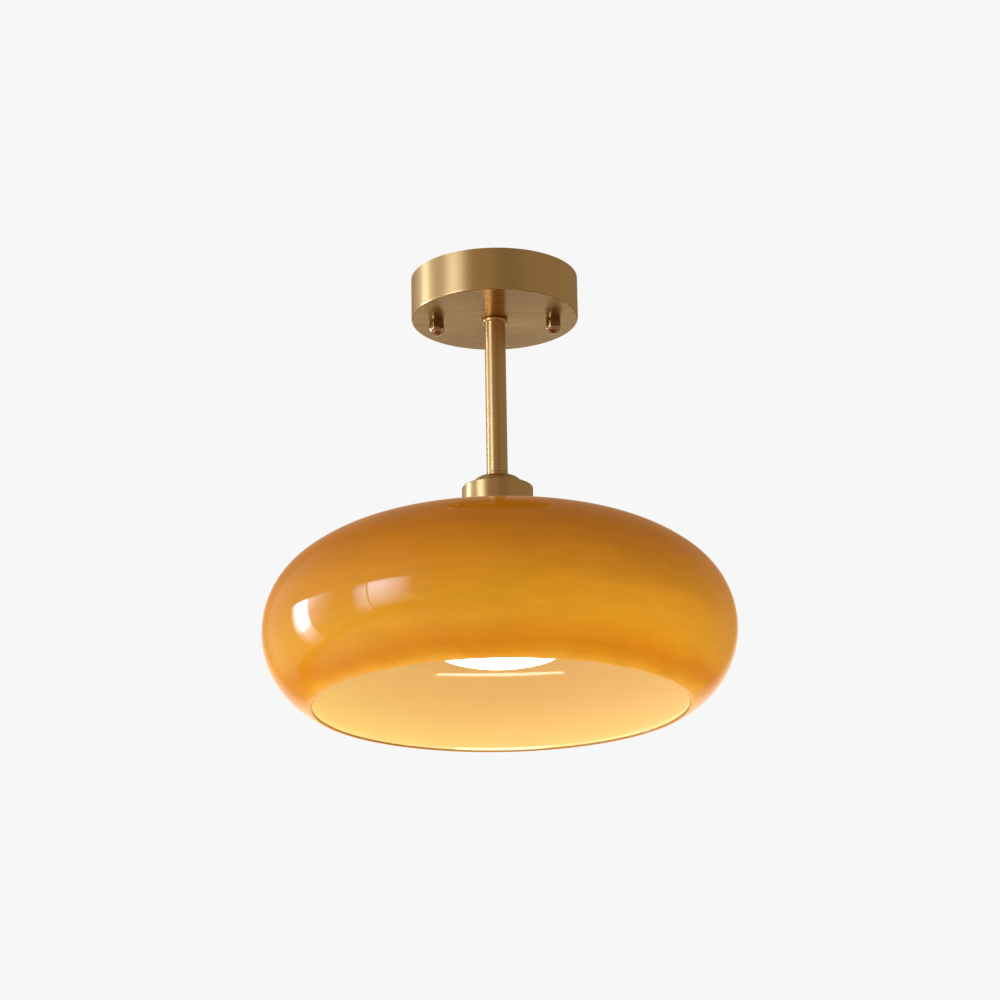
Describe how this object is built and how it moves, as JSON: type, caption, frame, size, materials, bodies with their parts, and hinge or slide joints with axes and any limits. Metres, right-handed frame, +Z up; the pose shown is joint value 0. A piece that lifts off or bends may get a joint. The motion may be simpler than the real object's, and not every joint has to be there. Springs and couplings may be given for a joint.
{
  "type": "semi flush ceiling light",
  "caption": "Semi-flush ceiling light: round brass canopy, short stem and a wide squashed amber glass shade, open below, round a flat-faced LED bulb.",
  "frame": {"origin": "centre of the ceiling plane, which the bracket and the canopy's rim meet", "axes": "+Z up into the ceiling, +X through the two cap nuts, towards the terminal block"},
  "size_m": [0.276, 0.276, 0.2657],
  "materials": {
    "satin_brass": "fine brushed",
    "polished_brass": "polished, knurled",
    "contact_brass": "plain drawn",
    "zinc_steel": "zinc plated",
    "nickel": "nickel plated",
    "board_aluminium": "white solder mask",
    "block_nylon": "moulded",
    "black_phenolic": "moulded",
    "white_ceramic": "unglazed",
    "black_insulator": "vitreous",
    "bulb_white": "satin",
    "opal_diffuser": "opal, lit",
    "clear_silicone": "soft",
    "amber_cased_glass": "glossy outside, cream inside",
    "brown_lead": "extruded",
    "blue_lead": "extruded",
    "earth_lead_green": "extruded, yellow stripe"
  },
  "bodies": {
    "fixed": {"ceiling_bracket": "zinc_steel", "bracket_stud_left": "zinc_steel", "bracket_stud_right": "zinc_steel", "stud_lock_nuts": "zinc_steel", "canopy": "satin_brass", "terminal_block": "block_nylon", "terminal_inserts": "contact_brass", "terminal_screws": "zinc_steel", "block_fixing_screw": "zinc_steel", "canopy_lock_nut": "zinc_steel", "star_washer": "zinc_steel", "earth_tag": "contact_brass", "upper_nipple": "zinc_steel", "stem_ring": "satin_brass", "stem_tube": "satin_brass", "stem_collar": "satin_brass", "lower_nipple": "zinc_steel", "lampholder_cover": "satin_brass", "holder_cap": "black_phenolic", "holder_lock_nut": "zinc_steel", "contact_block": "white_ceramic", "holder_terminal_screws": "nickel", "socket_shell": "contact_brass", "centre_contact": "contact_brass", "holder_sleeve": "black_phenolic", "upper_seal": "clear_silicone", "glass_shade": "amber_cased_glass", "lower_seal": "clear_silicone", "live_lead": "brown_lead", "neutral_lead": "blue_lead", "earth_lead": "earth_lead_green"},
    "cap_nut_left": {"cap_nut_left": "polished_brass"},
    "cap_nut_right": {"cap_nut_right": "polished_brass"},
    "shade_ring": {"shade_ring": "black_phenolic"},
    "bulb": {"bulb_tip": "nickel", "bulb_insulator": "black_insulator", "bulb_screw_cap": "nickel", "bulb_housing": "bulb_white", "bulb_board": "board_aluminium", "bulb_diffuser": "opal_diffuser"}
  },
  "joints": [
    {"name": "cap_nut_left_turn", "type": "hinge", "parent": "fixed", "child": "cap_nut_left", "pos_m": [-0.035, 0, -0.03], "axis": [0, 0, -1], "range_deg": [0, 3600]},
    {"name": "cap_nut_right_turn", "type": "hinge", "parent": "fixed", "child": "cap_nut_right", "pos_m": [0.035, 0, -0.03], "axis": [0, 0, -1], "range_deg": [0, 3600]},
    {"name": "shade_ring_turn", "type": "hinge", "parent": "fixed", "child": "shade_ring", "pos_m": [0, 0, -0.166], "axis": [0, 0, -1], "range_deg": [0, 2880]},
    {"name": "bulb_turn", "type": "hinge", "parent": "fixed", "child": "bulb", "pos_m": [0, 0, -0.2], "axis": [0, 0, -1], "range_deg": [0, 1530]}
  ]
}
